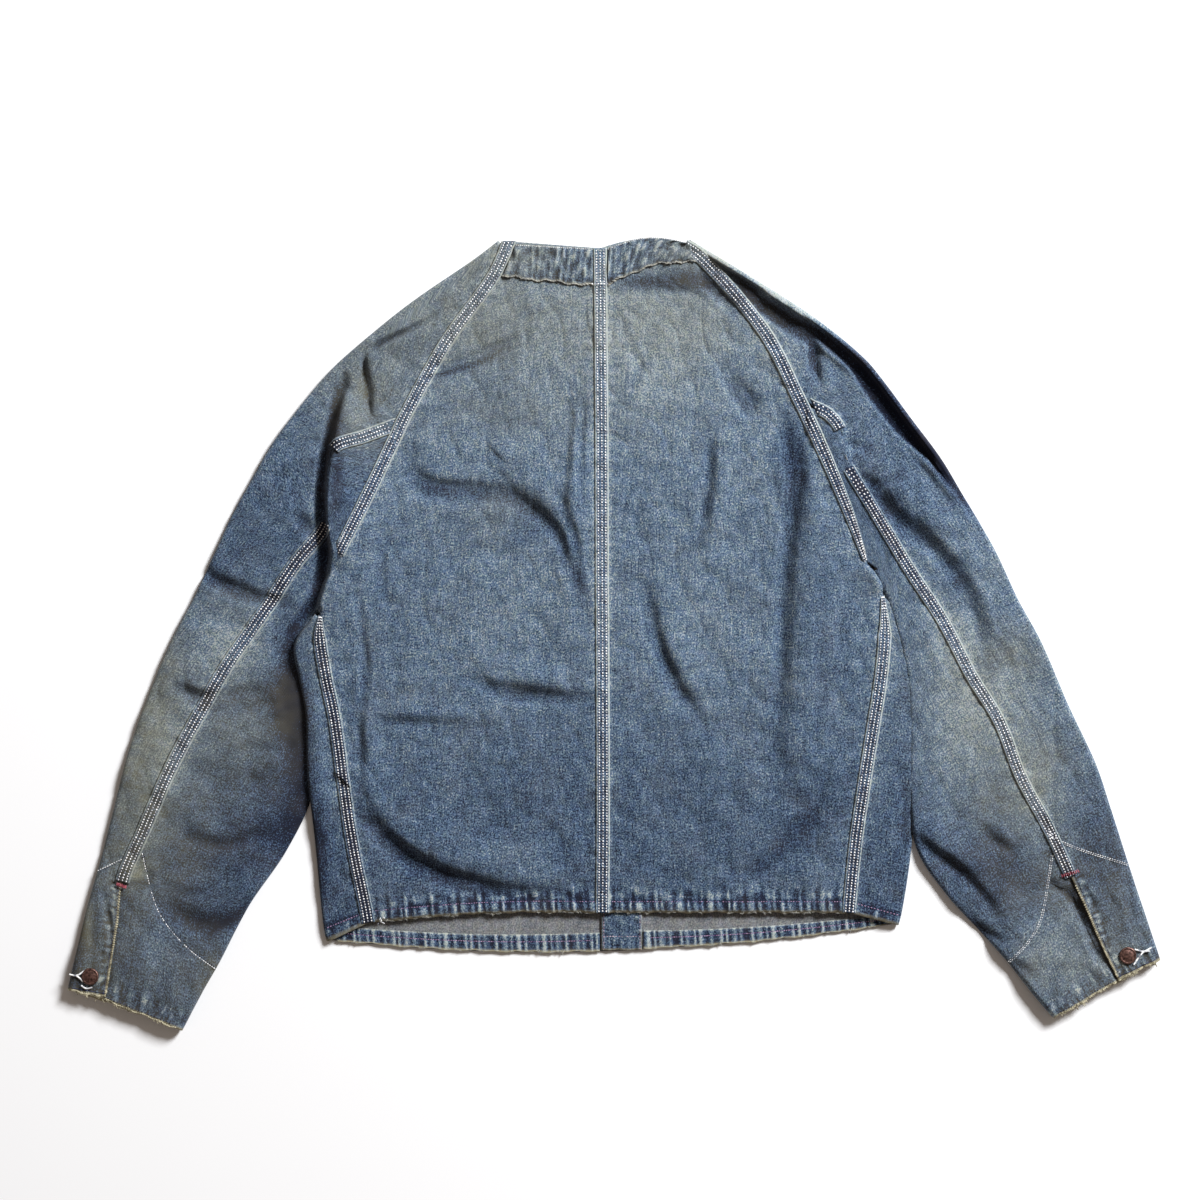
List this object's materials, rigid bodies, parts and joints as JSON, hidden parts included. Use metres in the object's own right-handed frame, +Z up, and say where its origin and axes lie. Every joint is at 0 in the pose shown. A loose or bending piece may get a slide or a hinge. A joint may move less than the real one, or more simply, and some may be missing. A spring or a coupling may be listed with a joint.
{
  "type": "collarless raglan-sleeve denim work jacket, laid flat with its back up",
  "caption": "Faded denim work jacket with raglan sleeves, broad felled seams and cuff buttons, laid flat back up.",
  "frame": {"origin": "on the surface that the jacket lies on, under the middle of its bounding box", "axes": "+X across the jacket to the cuff that the picture shows on the right, +Y towards the neck, +Z up"},
  "size_m": [1.094, 0.7926, 0.0241],
  "materials": {
    "body_denim": "washed indigo twill, matt",
    "sleeve_denim": "faded indigo twill, matt, soiled and worn at elbows and cuffs",
    "front_denim": "indigo twill, matt, less faded",
    "seam_denim": "puckered felled seam, pale edges, white stitching",
    "band_denim": "narrow puckered band with raw edge, matt",
    "copper_button": "tarnished brown copper, satin"
  },
  "bodies": {
    "root": {"back_left": "body_denim", "neck_band_left": "band_denim", "front_left": "front_denim", "front_hem_left": "front_denim", "sleeve_top_left": "sleeve_denim", "sleeve_under_left": "sleeve_denim", "fell_sleeve_left": "seam_denim", "fell_stub_left": "seam_denim", "button_left": "copper_button", "fell_side_left": "seam_denim", "fell_raglan_left": "seam_denim", "back_right": "body_denim", "neck_band_right": "band_denim", "front_right": "front_denim", "front_hem_right": "front_denim", "sleeve_top_right": "sleeve_denim", "sleeve_under_right": "sleeve_denim", "fell_sleeve_right": "seam_denim", "fell_stub_right": "seam_denim", "button_right": "copper_button", "fell_side_right": "seam_denim", "fell_raglan_right": "seam_denim", "fell_back": "seam_denim", "front_facing": "front_denim"}
  },
  "joints": []
}
